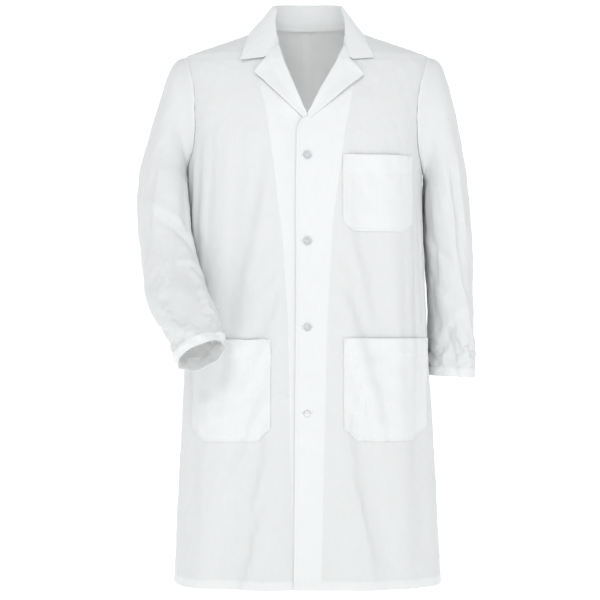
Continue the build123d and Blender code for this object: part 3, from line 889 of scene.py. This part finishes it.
def make_lapel(side):
    """The turned-back top of one front: a soft roll, then flat on the chest to its edge.

    It gives back the line of stitches along its edge.
    """
    share = np.linspace(0, 1, 72)
    roll_z = V_BOTTOM_Z + (GORGE[side][1] - V_BOTTOM_Z) * share
    roll = np.stack([v_edge(roll_z, side), roll_z], -1)
    roll[0] = (0.0, V_BOTTOM_Z)
    corners = (LAPEL_FOOT[side], LAPEL_TIP[side], NOTCH[side], GORGE[side])
    stops = (0.0, LAPEL_TIP_AT, LAPEL_NOTCH_AT, 1.0)
    low, notch, gorge = [
        path(corners[k:k + 2], np.clip((share - stops[k]) / (stops[k + 1] - stops[k]), 0, 1))
        for k in range(3)
    ]
    upper = np.where((share < LAPEL_NOTCH_AT)[:, None], notch, gorge)
    edge = np.where((share < LAPEL_TIP_AT)[:, None], low, upper)
    width = np.linalg.norm(edge - roll, axis=1)
    across = (edge - roll) / np.maximum(width, 1e-6)[:, None]
    scale = np.clip(width / 0.03, 0.12, 1)
    rows = []
    for reach, off in LAPEL_ROLL:
        if reach < 0:
            spot = roll + across * (abs(reach) * 0.045) * scale[:, None]
        else:
            spot = roll + across * (reach * 0.05 - 0.0004)
        rows.append(on_front(side * spot[:, 0], spot[:, 1], off * np.clip(scale, 0.45, 1)))
    for s in np.linspace(0.06, 1.0, 30):
        spot = roll + (edge - roll) * s
        lift = lapel_lift(s, share) * np.clip(scale, 0.5, 1)
        rows.append(on_front(side * spot[:, 0], spot[:, 1], lift))
    grid = np.stack(rows, axis=1)
    piece = cloth_piece(f"lapel_{sides_named[side]}_cloth", grid, [f"lapel_{sides_named[side]}"],
                        thick=0.0012, layers=1.0)
    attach(piece, "root")
    sewn = np.maximum(0.0, 1 - 0.0055 / np.maximum(width, 1e-3))
    use = (share > 0.04) & (share < 0.97)
    edge_line = (roll + (edge - roll) * sewn[:, None])[use]
    lift = lapel_lift(sewn, share)[use] + 0.0001
    return seam_line(on_front, side * edge_line[:, 0], edge_line[:, 1], lift)


COLLAR_PATH = [
    # angle round the neck, outer edge's height, neck seam's height, stand height
    (90.0, -0.0135, -0.0005, 0.0455),
    (60.0, -0.0140, -0.0008, 0.0447),
    (30.0, -0.0165, -0.0020, 0.0415),
    (0.0, -0.0205, -0.0045, 0.0375),
    (-27.0, -0.0265, -0.0085, 0.0310),
    (-40.0, -0.0350, -0.0130, 0.0240),
    (-56.0, -0.0560, -0.0190, 0.0160),
    (-61.5, -0.0730, -0.0260, 0.0100),
    (-62.5, -0.0800, -0.0300, 0.0075),
]


def collar_profile(neck, fold, outer, out, angle):
    """One line of the collar: up the inside, a tight fold, then a rounded fall."""
    inner_top = fold - out * 0.0016 - np.array([0, 0, 0.0020])
    outer_top = fold + out * 0.0022 - np.array([0, 0, 0.0018])
    span = np.linalg.norm(outer - fold)
    rounded = 0.01 + 0.13 * max(0.0, math.sin(math.radians(angle)))
    bulge = (outer_top + outer) / 2 + out * rounded * span + np.array([0, 0, rounded * span])
    profile = [neck + (inner_top - neck) * s for s in np.linspace(0, 1, 12)]
    profile.append(fold - out * 0.0006 - np.array([0, 0, 0.0006]))
    profile.append(fold + out * 0.0010 - np.array([0, 0, 0.0005]))
    for s in np.linspace(0, 1, 20):
        profile.append((1 - s) ** 2 * outer_top + 2 * s * (1 - s) * bulge + s * s * outer)
    return profile


def make_collar():
    """One cloth from the neck seam up the stand, over the fold and down the fall."""
    knots = np.array(COLLAR_PATH)
    half_count = 71
    corner = 60 / 70  # where the fall's outer edge turns in from the point to the notch
    share = np.linspace(0, 1, half_count)
    body_share = np.clip(share / corner, 0, 1)
    shoulder_at = 3 / (len(knots) - 1)  # where the angle is 0, on top of the shoulder
    at = body_share * (len(knots) - 1)
    smooth = [np.interp(at, np.arange(len(knots)), knots[:, k]) for k in range(4)]
    smooth = [smooth_rows(values[:, None], 3)[:, 0] for values in smooth]
    tail = np.clip((share - corner) / (1 - corner), 0, 1)
    halves = []
    for side in (-1, 1):
        made = []
        point_lift = 0.0065 if side > 0 else 0.0095
        for i in range(half_count):
            angle, edge_z, seam_z, stand = [values[i] for values in smooth]
            turned = angle if side > 0 else 180 - angle
            neck = on_body(turned, np.array(min(seam_z, -0.0003)), -0.0005)
            gorge_z = GORGE[side][1] + 0.001
            seam_z_now = seam_z + (gorge_z - seam_z) * tail[i]
            if angle < 20:
                mix = ease(-angle, -20.0, 30.0)
                on_v = on_front(side * (v_edge(seam_z_now, side) + 0.0005), seam_z_now, -0.0012)
                neck = neck * (1 - mix) + on_v * mix
            stand_now = stand * (1 - tail[i])
            cosine, sine = math.cos(math.radians(angle)), math.sin(math.radians(angle))
            out = np.array([side * cosine, sine, 0])
            lean = -0.0095 * cosine ** 2 + 0.003 * max(0, sine)
            fold = neck + np.array([0, 0, stand_now]) + out * lean * (stand_now / 0.045)
            if tail[i] > 0:
                spot = path([COLLAR_POINT[side], NOTCH[side], GORGE[side]], tail[i])
                lift = point_lift + (0.0040 - point_lift) * min(1.0, tail[i] * 1.6)
                outer = on_front(side * spot[0], spot[1], lift)
            elif angle < 0:
                run = (body_share[i] - shoulder_at) / (1 - shoulder_at)
                spot = path([COLLAR_SHOULDER[side], COLLAR_POINT[side]], run)
                outer = on_front(side * spot[0], spot[1], 0.0036 + (point_lift - 0.0036) * run ** 2)
            else:
                outer = on_body(turned, np.array(edge_z), 0.0030)
            made.append(collar_profile(neck, fold, outer, out, angle))
        halves.append(np.array(made))
    grid = np.concatenate([halves[0][::-1], halves[1][1:]], axis=0)
    piece = cloth_piece("collar_cloth", grid, ["upper_collar", "under_collar", "collar_interlining"],
                        thick=0.0016, layers=1.0, face_out=False)
    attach(piece, "root")


def make_binding():
    """The tape over the back neck seam, on the inside."""
    angle = np.linspace(2, 178, 72)
    grid = np.stack([
        on_body(angle, np.full_like(angle, -0.0006 - 0.0058 * drop), -0.0022)
        for drop in np.linspace(0, 1, 5)
    ])
    piece = cloth_piece("neck_tape", grid, ["neck_binding"], paint=BINDING, slot="binding",
                        thick=0.0008, layers=1.0)
    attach(piece, "root")


# ---- pockets ------------------------------------------------------------


def pocket_spots(x0, x1, top, depth, chamfer, rows, cols, inset=0.0):
    """x and z over a pocket with cut bottom corners."""
    share = np.linspace(0, 1, rows)
    z = top - inset + (-(depth - 2 * inset)) * share
    cut = np.clip((top - depth + chamfer * 0.82 - z) / (chamfer * 0.82), 0, 1) * chamfer
    across = np.linspace(0, 1, cols)[None, :]
    left, right = x0 + inset + cut, x1 - inset - cut
    x = left[:, None] + (right - left)[:, None] * across
    return x, np.broadcast_to(z[:, None], x.shape)


def make_pocket(name, x0, x1, top, depth, chamfer, band):
    """A patch pocket: turned edges sewn down, a little slack, and a double band at its mouth."""
    rows, cols = int(depth / 0.0028), int((x1 - x0) / 0.0032)
    x, z = pocket_spots(x0, x1, top, depth, chamfer, rows, cols)
    side_in = np.minimum(np.arange(cols), np.arange(cols)[::-1])[None, :] * (x1 - x0) / (cols - 1)
    foot_in = (rows - 1 - np.arange(rows))[:, None] * depth / (rows - 1)
    edge_in = np.minimum(side_in, foot_in)
    slack = ease(edge_in, 0.0, 0.035)
    mouth = 1 - ease(top - z, 0.0, 0.06)
    off = 0.0014 + 0.0014 * slack + 0.0006 * slack * mouth
    spots = np.stack([x, z], -1)
    off = off + 0.0009 * slack * ripple(spots, 0.045, 40 + rows)
    off -= 0.0007 * np.exp(-((edge_in - 0.0075) / 0.0022) ** 2)
    off -= 0.0008 * np.exp(-((top - z - band) / 0.0016) ** 2)
    off += 0.0006 * (top - z < band)
    grid = on_front(x, z, off)
    # painted ply shade: the band and the turned edges are painted as two plies, the rest of the pocket a
    # little greyer
    layers = np.where(top - z < band, 1.0, 0.86)
    layers = np.maximum(layers, np.where(edge_in < 0.009, 1.0, 0.0))
    piece = cloth_piece(f"{name}_cloth", grid, [name, f"{name}_hem"], layers=layers)
    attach(piece, "root")
    lines = []
    cut_z = top - depth + chamfer * 0.82
    for inset in (0.0022, 0.0070):
        corners = [
            (x0 + inset, top - 0.002), (x0 + inset, cut_z + inset * 0.4),
            (x0 + chamfer + inset * 0.4, top - depth + inset),
            (x1 - chamfer - inset * 0.4, top - depth + inset),
            (x1 - inset, cut_z + inset * 0.4), (x1 - inset, top - 0.002),
        ]
        lines.append(path(corners, np.linspace(0, 1, 120)).T)
    run = np.linspace(0.003, 0.997, 80)
    for below in (band - 0.0016, 0.0022):
        lines.append((x0 + (x1 - x0) * run, np.full_like(run, top - below)))
    return grid, lines


def line_over(grid, x, z):
    """Points and normals on a made grid, nearest to the given x and z."""
    flat = grid.reshape(-1, 3)
    tree = KDTree(len(flat))
    for i, p in enumerate(flat):
        tree.insert((p[0], 0.0, p[2]), i)
    tree.balance()
    normals = grid_normals(grid, False).reshape(-1, 3)
    y = []
    up = []
    for a, b in zip(x, z):
        near = tree.find_n((a, 0.0, b), 4)
        weight = np.array([1 / (d + 1e-5) for _, _, d in near])
        index = [i for _, i, _ in near]
        y.append((flat[index, 1] * weight).sum() / weight.sum())
        up.append(normals[index].mean(0))
    points = np.stack([x, y, z], -1)
    up = np.array(up)
    up *= np.where(up[:, 1:2] > 0, -1, 1)
    return points + up * 0.0001, up


# ---- sleeves ------------------------------------------------------------
# Rings from the armhole down: x and z of the outer and the inner side, the middle's y and half
# the depth. The right arm is bent, so its forearm's rings are given whole.
SLEEVE_COLS = 132
SLEEVE_STEP = 0.0034  # between two rows of the finished sleeve
LEFT_OUTER = [
    (0.2512, -0.0776), (0.2648, -0.1081), (0.2745, -0.1411), (0.2897, -0.2154), (0.3031, -0.2974),
    (0.3080, -0.3374), (0.3150, -0.4200), (0.3212, -0.5452), (0.3200, -0.6745),
]
LEFT_INNER = [
    (0.2212, -0.2932), (0.2212, -0.2940), (0.2212, -0.2955), (0.2206, -0.3000), (0.2196, -0.3080),
    (0.2160, -0.3450), (0.2180, -0.4200), (0.2265, -0.5440), (0.2350, -0.6715),
]
LEFT_MIDDLE_Y = [0.0085, 0.0095, 0.0110, 0.0140, 0.0180, 0.0220, 0.0240, 0.0240, 0.0240]
LEFT_HALF_DEPTH = [0.0585, 0.0600, 0.0615, 0.0630, 0.0630, 0.0620, 0.0590, 0.0530, 0.0470]
RIGHT_OUTER = [
    (-0.2500, -0.0775), (-0.2640, -0.1020), (-0.2790, -0.1471), (-0.2990, -0.2164), (-0.3100, -0.2696),
    (-0.3180, -0.3380), (-0.3190, -0.3900),
]
RIGHT_INNER = [
    (-0.2252, -0.2932), (-0.2246, -0.2940), (-0.2236, -0.2960), (-0.2216, -0.3020), (-0.2200, -0.3100),
    (-0.2170, -0.3450), (-0.2140, -0.3900),
]
RIGHT_MIDDLE_Y = [0.0085, 0.0075, 0.0040, -0.0040, -0.0160, -0.0340, -0.0440]
RIGHT_HALF_DEPTH = [0.0585, 0.0600, 0.0615, 0.0625, 0.0620, 0.0580, 0.0530]
RIGHT_FOREARM = [
    # centre, outward half vector, forward half vector
    ((-0.2645, -0.0520, -0.4200), (-0.0515, -0.0010, -0.0060), (-0.0010, -0.0500, 0.0060)),
    ((-0.2580, -0.0740, -0.4640), (-0.0505, -0.0010, -0.0130), (-0.0050, -0.0460, 0.0180)),
    ((-0.2400, -0.1120, -0.5150), (-0.0480, -0.0015, -0.0185), (-0.0100, -0.0400, 0.0235)),
    ((-0.2150, -0.1560, -0.5710), (-0.0445, 0.0030, -0.0200), (-0.0130, -0.0350, 0.0210)),
    ((-0.1897, -0.1945, -0.6285), (-0.0396, 0.0072, -0.0209), (-0.0140, -0.0235, 0.0160)),
]
SLEEVE_TURN = 2 * math.pi * np.arange(SLEEVE_COLS) / SLEEVE_COLS


def ring(centre, outward, forward, square=2.1):
    """One cross-section of a sleeve; it starts at its outer side and goes round by the front."""
    c, s = np.cos(SLEEVE_TURN)[:, None], np.sin(SLEEVE_TURN)[:, None]
    c = np.sign(c) * np.abs(c) ** (2 / square)
    s = np.sign(s) * np.abs(s) ** (2 / square)
    return np.array(centre) + c * np.array(outward) + s * np.array(forward)


def sleeve_rings(side, outer, inner, middle_y, half_depth, more=(), turned=0.0):
    """The sleeve's cross-sections, from the armhole seam to the wrist.

    turned is how far the lower rings' outer side comes forward and their inner side goes back.
    """
    rings = [armhole_curve(side, SLEEVE_COLS)]
    for k, ((ox, oz), (ix, iz), y, depth) in enumerate(zip(outer, inner, middle_y, half_depth)):
        centre = ((ox + ix) / 2, y, (oz + iz) / 2)
        forward = -turned * min(1.0, k / 4)
        rings.append(ring(centre, ((ox - ix) / 2, forward, (oz - iz) / 2), (0, -depth, 0)))
    rings += [ring(*row) for row in more]
    return np.array(rings)


def even_rows(rings, step=SLEEVE_STEP):
    """Rings at even steps on smooth curves through the given ones."""
    fine = refine(rings, len(rings) * 24, SLEEVE_COLS, True)
    gap = np.linalg.norm(np.diff(fine, axis=0), axis=-1).mean(1)
    along = np.concatenate([[0], np.cumsum(gap)])
    count = int(along[-1] / step)
    at = np.interp(np.linspace(0, along[-1], count), along, np.arange(len(fine)))
    low = np.minimum(at.astype(int), len(fine) - 2)
    share = (at - low)[:, None, None]
    even = fine[low] * (1 - share) + fine[low + 1] * share
    return np.concatenate([even[:1], smooth_rows(even, 2)[1:-1], even[-1:]])


def puff(grid):
    """The sleeve head stands a little proud just past its seam, as eased cloth does."""
    rows = np.arange(len(grid))[:, None]
    rise = 0.0022 * np.exp(-((rows - 5) / 4.0) ** 2) * (0.55 + 0.45 * np.cos(SLEEVE_TURN))[None, :]
    return rise - 0.0012 * np.exp(-(rows / 1.2) ** 2)


def folds(grid, creases):
    """Long soft creases: each runs from one (row, angle) to another with a depth and width."""
    rows, cols = grid.shape[:2]
    r = np.arange(rows)[:, None] * SLEEVE_STEP
    total = np.zeros((rows, cols))
    turned = np.degrees(SLEEVE_TURN)[None, :]
    for r0, a0, r1, a1, depth, width in creases:
        for wrap in (-360, 0, 360):
            ax, ay = r0, (a0 + wrap) * 0.0011
            bx, by = r1, (a1 + wrap) * 0.0011
            px, py = r, turned * 0.0011
            length = math.hypot(bx - ax, by - ay)
            ux, uy = (bx - ax) / length, (by - ay) / length
            t = ((px - ax) * ux + (py - ay) * uy) / length
            bow = 0.10 * length * np.sin(np.clip(t, 0, 1) * math.pi)
            away = (px - ax) * -uy + (py - ay) * ux - bow
            taper = ease(t, -0.05, 0.3) * (1 - ease(t, 0.6, 1.1))
            valley = -np.exp(-(away / width) ** 2)
            ridge = 0.75 * np.exp(-((away - 1.7 * width) / (1.2 * width)) ** 2)
            total += depth * taper * (valley + ridge)
    return total


def sleeve_surface(side, rings, creases, seed):
    """The sleeve's grid with its ripples, creases and puffed head, after it has settled."""
    grid = even_rows(rings)
    if side < 0:
        # the same way round as the left one, seen from outside
        grid = grid[:, ::-1]
    normals = -grid_normals(grid, True)
    centre = grid.mean(1, keepdims=True)
    if (normals * (grid - centre)).sum() < 0:
        normals = -normals
    share = np.linspace(0, 1, len(grid))[:, None]
    flat = grid * np.array([1, 1, 0.5])
    lift = 0.0026 * ease(share, 0.05, 0.3) * ripple(flat, 0.085, seed)
    lift += 0.0012 * ripple(grid, 0.04, seed + 1) * ease(share, 0.02, 0.1)
    lift += 0.0004 * ripple(grid, 0.018, seed + 2)
    lift += (0.0007 if side > 0 else 0.0017) * ripple(grid, 0.032, seed + 5) * ease(share, 0.94, 1.0)
    crease = folds(grid, creases)
    rise = puff(grid)
    if side < 0:
        crease, rise = crease[:, ::-1], rise[:, ::-1]
    lift = lift + crease + rise
    grid = grid + normals * lift[..., None]
    keep = np.linspace(0, len(grid) - 1, max(30, len(grid) // 2)).round().astype(int)
    coarse = grid[keep][:, ::3]
    t = np.linspace(0, 1, len(coarse))[:, None] + np.zeros(coarse.shape[:2])
    hold = 0.10 + 0.9 * (1 - ease(t, 0.0, 0.06)) + 0.75 * ease(t, 0.93, 0.985)
    moved = keep_girth(coarse, settle(coarse, np.clip(hold, 0, 1), 0.5) - coarse)
    moved = capped(moved, 0.006) * ease(t, 0.14, 0.34)[..., None]
    shift = spread(grid, coarse, moved, keep, 3)
    shift[0] = 0
    return grid + shift


# row distance and angle round the sleeve: 0 is the outer side, 90 the front
LEFT_CREASES = [
    (0.22, 150, 0.31, 60, 0.0028, 0.010),
    (0.30, 160, 0.36, 70, 0.0024, 0.008),
    (0.38, 40, 0.46, 120, 0.0020, 0.009),
    (0.16, 30, 0.34, 60, 0.0022, 0.012),
    (0.44, 100, 0.54, 60, 0.0018, 0.010),
    (0.30, 230, 0.44, 300, 0.0026, 0.012),
]
RIGHT_CREASES = [
    (0.195, 45, 0.325, 165, 0.0064, 0.010),
    (0.345, 95, 0.385, 185, 0.0040, 0.008),
    (0.130, 60, 0.260, 100, 0.0020, 0.014),
    (0.300, 200, 0.380, 300, 0.0030, 0.011),
    (0.440, 100, 0.520, 60, 0.0022, 0.010),
    (0.400, 20, 0.450, 120, 0.0014, 0.012),
]
LEFT_RINGS = sleeve_rings(1, LEFT_OUTER, LEFT_INNER, LEFT_MIDDLE_Y, LEFT_HALF_DEPTH, turned=0.018)
RIGHT_RINGS = sleeve_rings(
    -1, RIGHT_OUTER, RIGHT_INNER, RIGHT_MIDDLE_Y, RIGHT_HALF_DEPTH, RIGHT_FOREARM)
LEFT_SLEEVE = sleeve_surface(1, LEFT_RINGS, LEFT_CREASES, 60)
RIGHT_SLEEVE = sleeve_surface(-1, RIGHT_RINGS, RIGHT_CREASES, 70)


def make_sleeve(side, grid):
    """One sleeve: upper and lower cloth, the turned-up hem inside the cuff and its stitches."""
    name = sides_named[side]
    split = int(np.argmax(grid[..., 2].mean(1) < SLEEVE_SPLIT))
    hem_rows = max(3, int(SLEEVE_HEM / SLEEVE_STEP))
    # painted ply shade: the armhole row and the cuff's hem are painted as two plies, the rest a shade
    # greyer as single cloth
    tone = np.zeros(grid.shape[:2])
    tone[:1] = 1
    tone[-hem_rows - 1:] = 1
    upper = cloth_piece(f"sleeve_{name}_upper_cloth", grid[:split + 1], [f"sleeve_{name}_upper"],
                        wrap=True, layers=tone[:split + 1])
    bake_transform(upper)
    lower = cloth_piece(f"sleeve_{name}_lower_cloth", grid[split:], [f"sleeve_{name}_lower"],
                        wrap=True, layers=tone[split:])
    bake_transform(lower)
    normals = grid_normals(grid, True)
    band = (grid - normals * LAYER_GAP)[-hem_rows - 1:]
    if side < 0:
        # the bent cuff hangs open and its turn-up has crumpled inwards
        loose = np.linspace(1.0, 0.0, hem_rows + 1)[:, None]
        crumple = np.clip(ripple(band, 0.026, 91) + 0.25, 0, 1.4)
        band = band - normals[-hem_rows - 1:] * (0.0048 * crumple * ease(loose, 0.0, 0.8))[..., None]
    hem = cloth_piece(f"sleeve_{name}_turnup", band, [f"sleeve_{name}_hem"], wrap=True, layers=1.0)
    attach(hem, f"forearm_{name}")
    closed = [*range(SLEEVE_COLS), 0]
    up = normals[-hem_rows][closed]
    sewn = stitches(f"stitches_cuff_{name}", [(grid[-hem_rows][closed] + up * 0.00012, up)])
    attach(sewn, f"forearm_{name}")


# ---- assembling the coat ------------------------------------------------
for each in (1, -1):
    make_back(each)
    make_front(each)
    make_front_edge(each)
    make_bottom_hem(each, True)
    make_bottom_hem(each, False)
make_vent()
lapel_lines = {each: make_lapel(each) for each in (1, -1)}
make_collar()
make_binding()

POCKETS = [
    # name, x0, x1, top, depth, corner, band
    ("chest_pocket", 0.0648, 0.1945, -0.2598, 0.1420, 0.0195, 0.0335),
    ("lower_pocket_left", 0.0648, 0.2260, -0.5990, 0.1890, 0.0270, 0.0320),
    ("lower_pocket_right", -0.2190, -0.0655, -0.6010, 0.1880, 0.0270, 0.0345),
]
for name, x0, x1, top, *rest in POCKETS:
    grid, marks = make_pocket(name, x0, x1, top, *rest)
    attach(stitches(f"stitches_{name}", [line_over(grid, *mark) for mark in marks]), "root")
    # a bar of close stitches at each top corner
    bars = []
    for corner_x, way in ((x0 + 0.0046, 1), (x1 - 0.0046, -1)):
        run = np.linspace(-0.0042, 0.0042, 8)
        for k in range(4):
            points, up = line_over(
                grid, corner_x + run * 0.55 * way, top - 0.006 + run + k * 0.00035 - 0.0006)
            bars.append((points + up * 0.0002, up))
    tacks = stitches(f"{name}_bar_tacks", bars, pitch=0.0016, width=0.0006, height=0.0007)
    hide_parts(f"{name}_tacks")
    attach(tacks, "root")

for each, surface in ((1, LEFT_SLEEVE), (-1, RIGHT_SLEEVE)):
    make_sleeve(each, surface)

# stitching on the fronts, the hem and the back
for each in (1, -1):
    if each > 0:
        z = np.linspace(OPEN_TOP_Z - 0.001, HEM_Z + 0.004, 420)
        placket_line = seam_line(on_front, -overlap(z, 1) + 0.0055, z, 0.00015)
        blend_edge(stitches("stitches_placket", [placket_line]))
    hem_x = np.linspace(FOLD_X, 0.235, 120) * each
    back_x = np.linspace(0.0, 0.244, 130) * each
    row = row_of(np.full_like(back_x, HEM_STITCH_Z))
    col = col_of(back_x, np.full_like(back_x, HEM_Z + 0.01), False)
    lines = [
        seam_line(on_front, hem_x, np.full_like(hem_x, HEM_STITCH_Z), 0.00012),
        seam_line(body.at, row, col, 0.00012),
        lapel_lines[each],
    ]
    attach(stitches(f"stitches_body_{sides_named[each]}", lines), "root")
for each, off in ((1, 0.00015), (-1, -0.0039)):
    edge_x = np.linspace(-OVERLAP_HEM + 0.001, FOLD_X, 40) * each
    hem_line = seam_line(on_front, edge_x, np.full_like(edge_x, HEM_STITCH_Z), off)
    blend_edge(stitches(f"stitches_edge_hem_{sides_named[each]}", [hem_line]))

# buttonholes: a closed slit with close stitches along both lips
HALF_HOLE = 0.0102
for number in range(1, 5):
    low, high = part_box(f"button_{number}")
    middle = (low + high) / 2
    lines = []
    for lip in (-1, 1):
        for k in range(40):
            x = np.array([middle.x - HALF_HOLE + 2 * HALF_HOLE * k / 39] * 2)
            z = middle.z + lip * np.array([0.00025, 0.0016])
            lines.append(seam_line(on_front, x, z, 0.0002))
    sewn = stitches(f"buttonhole_{number}_stitches", lines, pitch=0.0013, width=0.00052, height=0.0006)
    blend_edge(sewn)

for kind, paint in (("button", PEARL), ("button_thread", THREAD)):
    for number in range(1, 5):
        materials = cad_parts[f"{kind}_{number}"].data.materials
        materials.clear()
        materials.append(paint)

# ---- camera, light and floor --------------------------------------------
camera_data = bpy.data.cameras.new("camera")
camera_data.sensor_width = 36.0
camera_data.lens = 112.08
camera = show("camera", camera_data)
camera.location = (-0.0133, -3.55, -0.528)
camera.rotation_euler = (math.radians(90), 0, 0)
bpy.context.scene.camera = camera

SOFTBOXES = [
    # name, place, what it is aimed at, width and height, watts
    ("key", (-0.9, -3.1, 1.9), (0, 0, -0.25), (1.3, 1.0), 35),
    ("fill", (1.6, -3.0, 0.8), (0, 0, -0.15), (1.8, 2.0), 11),
    ("back_left", (-1.6, 2.0, 0.9), (0, 0, -0.5), (1.2, 1.6), 7),
    ("back_right", (1.6, 2.0, 0.9), (0, 0, -0.5), (1.2, 1.6), 7),
    ("inside", (0, -0.045, -0.40), (0, 0.08, -0.10), (0.14, 0.14), 0.27),
    ("cuff", (-0.222, -0.140, -0.565), (-0.186, -0.200, -0.640), (0.03, 0.03), 0.014),
]
for name, place, aim, (wide, tall), watts in SOFTBOXES:
    light = bpy.data.lights.new(name, "AREA")
    light.shape, light.size, light.size_y, light.energy = "RECTANGLE", wide, tall, watts
    lamp = show(name, light)
    lamp.location = place
    lamp.rotation_euler = (Vector(aim) - Vector(place)).to_track_quat("-Z", "Y").to_euler()
    lamp.visible_camera = False

world = bpy.data.worlds.new("studio")
bpy.context.scene.world = world
world.use_nodes = True
sky = world.node_tree.nodes["Background"].inputs
sky["Color"].default_value = (0.97, 0.985, 1.0, 1)
sky["Strength"].default_value = 0.62
bpy.context.scene.view_settings.view_transform = "Standard"


def sweep():
    """A pale floor that curves up into a wall behind the coat."""
    floor_z, wall_y, wall_top, front_y, half_wide, radius = HEM_Z - 0.09, 9.0, 9.0, -9.0, 14.0, 2.5
    profile = [(front_y, floor_z), (wall_y - radius, floor_z)]
    profile += [
        (wall_y - radius + radius * math.sin(a), floor_z + radius - radius * math.cos(a))
        for a in np.linspace(0.1, math.pi / 2, 14)
    ]
    profile.append((wall_y, wall_top))
    mesh = bpy.data.meshes.new("sweep")
    points = [(x, y, z) for y, z in profile for x in (-half_wide, half_wide)]
    quads = [(2 * i, 2 * i + 1, 2 * i + 3, 2 * i + 2) for i in range(len(profile) - 1)]
    mesh.from_pydata(points, [], quads)
    mesh.shade_smooth()
    paper = new_material("paper", {
        "Base Color": (0.96, 0.96, 0.96, 1), "Roughness": 0.95,
        "Emission Color": (1, 1, 1, 1), "Emission Strength": 0.42,
    })[0]
    mesh.materials.append(paper)
    show("floor_sweep", mesh)


sweep()
